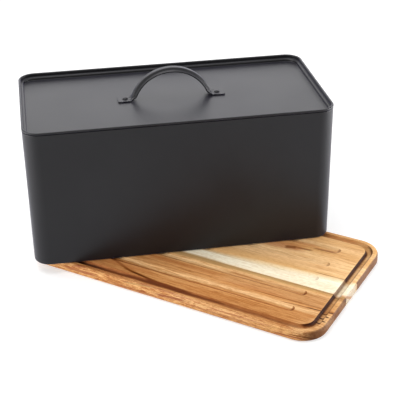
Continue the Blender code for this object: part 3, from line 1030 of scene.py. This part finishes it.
def hollow_profile(width, depth):
    """Half the section of a hollow, from its middle out over its rounded lip, as (distance, level).

    The last point lies past the lip and just above the board, so that the cutter's side leaves no mark.
    """
    radius = ((width / 2) ** 2 + depth ** 2) / (2 * depth)
    slope = math.asin(width / 2 / radius)
    points = arc((0, radius - depth), radius, -math.pi / 2, -math.pi / 2 + slope, 2 * bend_steps)
    out, up = points[-1]
    reach = lip_round * math.tan(slope / 2)
    points = [point for point in points if math.hypot(point[0] - out, point[1] - up) > reach]
    centre = (out + reach, -lip_round)
    points += arc(centre, lip_round, math.pi / 2 + slope, math.pi / 2 + slope / bend_steps, bend_steps)
    last_out, last_up = points[-1]
    points.append((last_out + cutter_rise / math.tan(slope / bend_steps), last_up + cutter_rise))
    return points


def make_groove_cutter():
    """A ring whose underside hollows out the juice groove."""
    middle = groove_margin + groove_width / 2
    half = hollow_profile(groove_width, groove_depth)
    lid_level = half[-1][1] + overrun
    section = [(-out, up) for out, up in reversed(half)] + half[1:]
    section += [(half[-1][0], lid_level), (-half[-1][0], lid_level)]
    bm = bmesh.new()
    rows = [add_ring(bm, board_length / 2, board_width / 2, board_corner_radius, middle + out,
                     board_thickness + up) for out, up in section]
    loft(bm, rows + rows[:1], True)
    bmesh.ops.recalc_face_normals(bm, faces=bm.faces)
    return add_object("groove_cutter", mesh_from(bm, "groove_cutter"))


def make_flute_cutters():
    """Solids whose undersides hollow out the flutes, each with its place across the board.

    Their first ring has a little width, and their ends are a hair less than half round, so that no side
    shrinks to a point.
    """
    half_run = (flute_length - flute_width) / 2
    half = hollow_profile(flute_width, flute_depth)
    half[0] = (half[1][0] / bend_steps, half[0][1])
    half.append((half[-1][0], half[-1][1] + overrun))
    rings = [(half_run + out, out, out * flute_end_roundness, board_thickness + up) for out, up in half]
    cutters = []
    for index in range(flute_count):
        cutter = ring_solid("flute_cutter", rings)
        place = (index - (flute_count - 1) / 2) * flute_pitch
        cutter.location = (0, place, 0)
        cutters.append((place, cutter))
    return cutters


def make_blank():
    """The whole board with its rounded edges, before it is grooved."""
    edge = board_edge_round
    section = arc((edge, edge), edge, -math.pi / 2, -math.pi, bend_steps)
    section += arc((edge, board_thickness - edge), edge, math.pi, math.pi / 2, bend_steps)
    rings = [(board_length / 2 - inset, board_width / 2 - inset, board_corner_radius - inset, level)
             for inset, level in section]
    return ring_solid("board_blank", rings)


def mark_hollows(obj):
    """Say with attributes which points lie in the juice groove, on its inner side and in the flutes."""
    inner = groove_margin + groove_width + lip_round
    middle = groove_margin + groove_width / 2
    inner_side_run = groove_width / 4
    names = ("groove", "groove_inside", "flute")
    groove, inside, flute = [obj.data.attributes.new(name, "FLOAT", "POINT").data for name in names]
    for index, vertex in enumerate(obj.data.vertices):
        x, y, z = vertex.co
        corner_x = max(abs(x) - (board_length / 2 - board_corner_radius), 0)
        corner_y = max(abs(y) - (board_width / 2 - board_corner_radius), 0)
        if corner_x and corner_y:
            inset = board_corner_radius - math.hypot(corner_x, corner_y)
        else:
            inset = min(board_length / 2 - abs(x), board_width / 2 - abs(y))
        below = z < board_thickness - merge_distance
        in_groove = below and groove_margin - lip_round < inset < inner
        groove[index].value = float(in_groove)
        inside[index].value = in_groove * smooth_step((inset - middle) / inner_side_run + 0.5)
        shallow = z > board_thickness - flute_depth - merge_distance
        flute[index].value = float(below and shallow and inset >= inner)


def make_board(woods):
    """Edge-glued staves, each sawn from the same blank, then grooved and fluted."""
    groove = make_groove_cutter()
    flutes = make_flute_cutters()
    blank = make_blank()
    placing = Matrix.Translation(board_place) @ Matrix.Rotation(board_turn, 4, "Z")
    lines = [board_width * (share - 0.5) for share in stave_edge_shares]
    for index, (near, far) in enumerate(zip(lines, lines[1:])):
        low = near - overrun if index == 0 else near + glue_line / 2
        high = far + overrun if index == len(lines) - 2 else far - glue_line / 2
        half_run = board_length / 2 + overrun
        top = board_thickness + overrun
        slab = box_object("slab", (-half_run, low, -overrun), (half_run, high, top))
        stave = add_object("stave_%d" % (index + 1), blank.data.copy())
        boolean(stave, slab, "INTERSECT")
        boolean(stave, groove, "DIFFERENCE")
        for place, flute in flutes:
            if low < place + flute_width / 2 and place - flute_width / 2 < high:
                boolean(stave, flute, "DIFFERENCE")
        bake_modifiers(stave, board_smooth_angle)
        mark_hollows(stave)
        stave.data.transform(placing)
        even_shading(stave)
        remove(slab)
        node = "board_stave_%d" % (index + 1)
        dress(stave, "board", node, woods[index])
    remove(groove, blank, *[flute for place, flute in flutes])


def make_camera():
    """The photograph's viewpoint."""
    data = bpy.data.cameras.new("camera")
    data.lens = camera_lens
    data.sensor_width = camera_sensor
    data.sensor_fit = "HORIZONTAL"
    camera = bpy.data.objects.new("camera", data)
    camera.location = camera_place
    camera.rotation_euler = [math.radians(angle) for angle in camera_turn]
    collection.objects.link(camera)
    bpy.context.scene.camera = camera


def seen_directly(tree):
    """1 for rays from the camera and for those that a glossy or clear surface sends on."""
    path = tree.nodes.new("ShaderNodeLightPath")
    seen = path.outputs["Is Camera Ray"]
    for name in ("Is Glossy Ray", "Is Transmission Ray"):
        either = tree.nodes.new("ShaderNodeMath")
        either.operation = "MAXIMUM"
        tree.links.new(seen, either.inputs[0])
        tree.links.new(path.outputs[name], either.inputs[1])
        seen = either.outputs[0]
    return seen


def make_world(fill):
    """A white surround that lights the object less than it shows."""
    world = bpy.data.worlds.new("surround")
    world.use_nodes = True
    tree = world.node_tree
    lighting = tree.nodes["Background"]
    lighting.inputs["Color"].default_value = (1, 1, 1, 1)
    lighting.inputs["Strength"].default_value = fill
    white = tree.nodes.new("ShaderNodeBackground")
    white.inputs["Color"].default_value = (1, 1, 1, 1)
    white.inputs["Strength"].default_value = 1
    mix = tree.nodes.new("ShaderNodeMixShader")
    tree.links.new(seen_directly(tree), mix.inputs[0])
    tree.links.new(lighting.outputs[0], mix.inputs[1])
    tree.links.new(white.outputs[0], mix.inputs[2])
    tree.links.new(mix.outputs[0], tree.nodes["World Output"].inputs["Surface"])
    bpy.context.scene.world = world


def make_floor():
    """A wide pale floor that shows white where nothing shades it, and all white far out."""
    bm = bmesh.new()
    bmesh.ops.create_grid(bm, x_segments=1, y_segments=1, size=floor_reach)
    floor = add_object("floor", mesh_from(bm, "floor"), (0, 0, -floor_drop))
    graph = Graph("floor")
    graph.tree.nodes.remove(graph.shader)
    plain = graph.node("BsdfDiffuse", {"Color": floor_colour}).outputs[0]
    shaded = graph.node("BsdfDiffuse", {"Color": floor_seen_colour}).outputs[0]
    glow = graph.node("Emission", {"Strength": floor_seen_glow}).outputs[0]
    near = graph.node("AddShader", {0: shaded, 1: glow}).outputs[0]
    white = graph.node("Emission", {"Strength": 1}).outputs[0]
    place = graph.coordinates.outputs["Object"]
    away = graph.node("VectorMath", {0: place}, operation="LENGTH").outputs["Value"]
    shown = graph.node("MixShader", {0: graph.span(away, *floor_fade), 1: near, 2: white}).outputs[0]
    mix = graph.node("MixShader", {0: seen_directly(graph.tree), 1: plain, 2: shown}).outputs[0]
    graph.feed(graph.tree.nodes["Material Output"].inputs["Surface"], mix)
    floor.data.materials.append(graph.material)


def add_softbox(name, place, width, height, radiance):
    """A soft rectangular lamp that faces the object."""
    data = bpy.data.lights.new(name, "AREA")
    data.shape = "RECTANGLE"
    data.size = width
    data.size_y = height
    data.energy = radiance * math.pi * width * height
    lamp = bpy.data.objects.new(name, data)
    lamp.location = place
    lamp.rotation_euler = (Vector(lamp_target) - Vector(place)).to_track_quat("-Z", "Y").to_euler()
    collection.objects.link(lamp)


def make_lights():
    """Softboxes above, behind, low at both sides and in front, over a faint even fill."""
    for softbox in softboxes:
        add_softbox(*softbox)
    make_world(surround_light)


make_camera()
make_floor()
make_lights()

black = make_coat("black_coat", coat_black, *coat_finish)
rivet_black = make_coat("rivet_coat", coat_black, *rivet_finish)
woods = []
for index, (bands, marks, shares) in enumerate(zip(stave_bands, stave_marks, stave_shares)):
    woods.append(make_wood("wood_%d" % (index + 1), bands, marks, index + 1, *shares))

make_wall(black)
make_pan(black)
drills = make_drills()
make_lid(black, drills)
make_handle(black, drills)
remove(*drills)
make_rivets(rivet_black)
make_board(woods)

bpy.context.scene.view_settings.view_transform = "Standard"
